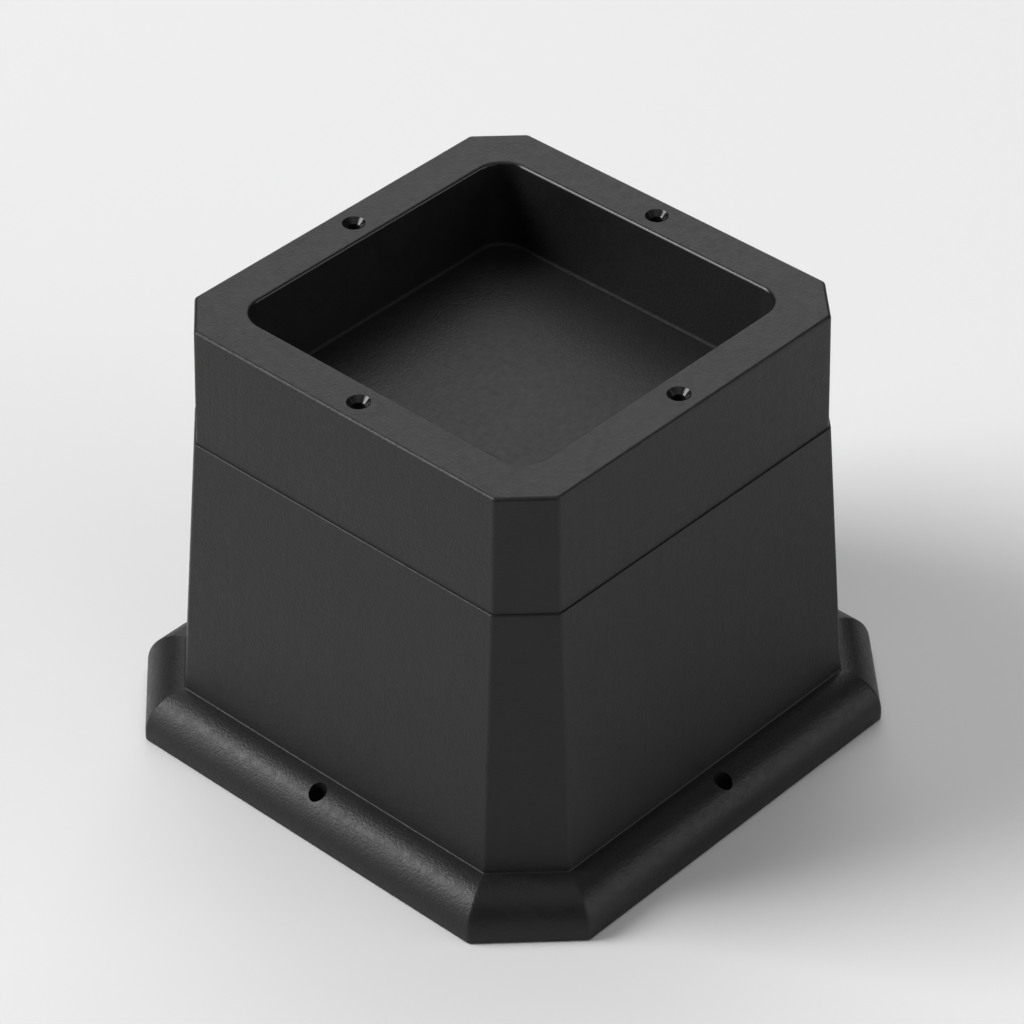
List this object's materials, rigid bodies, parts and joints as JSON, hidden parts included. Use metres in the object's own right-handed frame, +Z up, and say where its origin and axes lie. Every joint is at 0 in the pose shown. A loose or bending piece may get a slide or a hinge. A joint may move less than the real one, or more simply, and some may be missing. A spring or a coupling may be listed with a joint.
{
  "type": "bed riser",
  "caption": "Square tapered block that lifts a furniture leg: a recess in its flat rim takes the leg, and a rolled flange with screw holes spreads the load on the floor.",
  "frame": {"origin": "centre of the foot plane, on the floor", "axes": "+Z up along the symmetry axis; +X and +Y square to two of the flat sides"},
  "size_m": [0.1604, 0.1604, 0.127],
  "materials": {
    "moulded_plastic": "black moulded plastic with a fine matte grain"
  },
  "bodies": {
    "root": {"riser": "moulded_plastic"}
  },
  "joints": []
}
